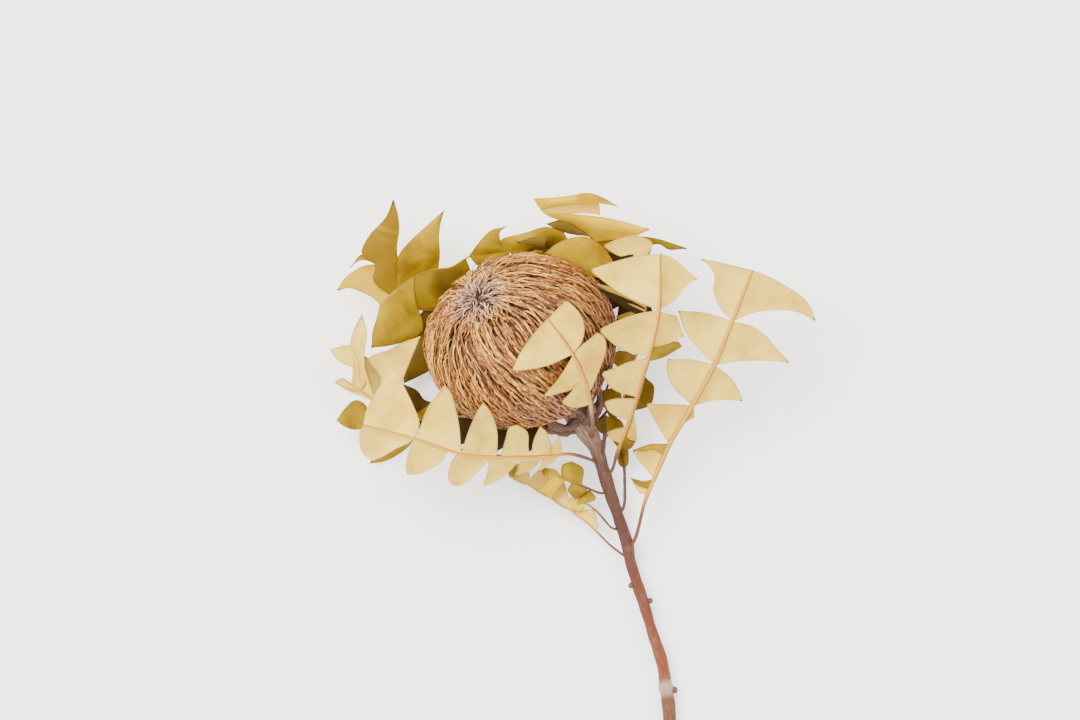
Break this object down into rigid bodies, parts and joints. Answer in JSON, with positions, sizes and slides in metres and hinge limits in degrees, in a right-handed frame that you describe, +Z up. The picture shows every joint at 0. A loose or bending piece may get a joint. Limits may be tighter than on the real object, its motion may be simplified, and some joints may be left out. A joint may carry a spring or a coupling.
{
  "type": "dried banksia flower",
  "caption": "Dried cut banksia flower: a dome of thatched wiry styles on a bent woody stem with saw-toothed leaves, lying on its side.",
  "frame": {"origin": "small flat spot under the flower head, on which the flower lies", "axes": "+Z up from the surface it lies on, +Y from the cut end of the stem towards the flower head"},
  "size_m": [0.2194, 0.2976, 0.0905],
  "materials": {
    "stem_bark": "matte, wrinkled bark",
    "dried_styles": "matte, dry and fibrous",
    "leaf_underside": "matte, finely veined",
    "leaf_upper_side": "satin, leathery",
    "leaf_bright_side": "satin, leathery"
  },
  "bodies": {
    "root": {"stem": "stem_bark", "flower_head": "dried_styles", "leaf_right_outer": "leaf_underside", "leaf_right_inner": "leaf_underside", "leaf_over_head": "leaf_underside", "leaf_low_left": "leaf_underside", "leaf_left_small": "leaf_underside", "leaf_left_low": "leaf_upper_side", "leaf_upper_left": "leaf_upper_side", "leaf_left_back": "leaf_upper_side", "leaf_top": "leaf_upper_side", "leaf_top_right": "leaf_bright_side", "leaf_right_back": "leaf_underside", "leaf_rolled": "leaf_upper_side", "leaf_spike": "leaf_upper_side", "leaf_curled_small": "leaf_bright_side", "leaf_curled_lower": "leaf_bright_side", "leaf_lowest": "leaf_underside"}
  },
  "joints": []
}
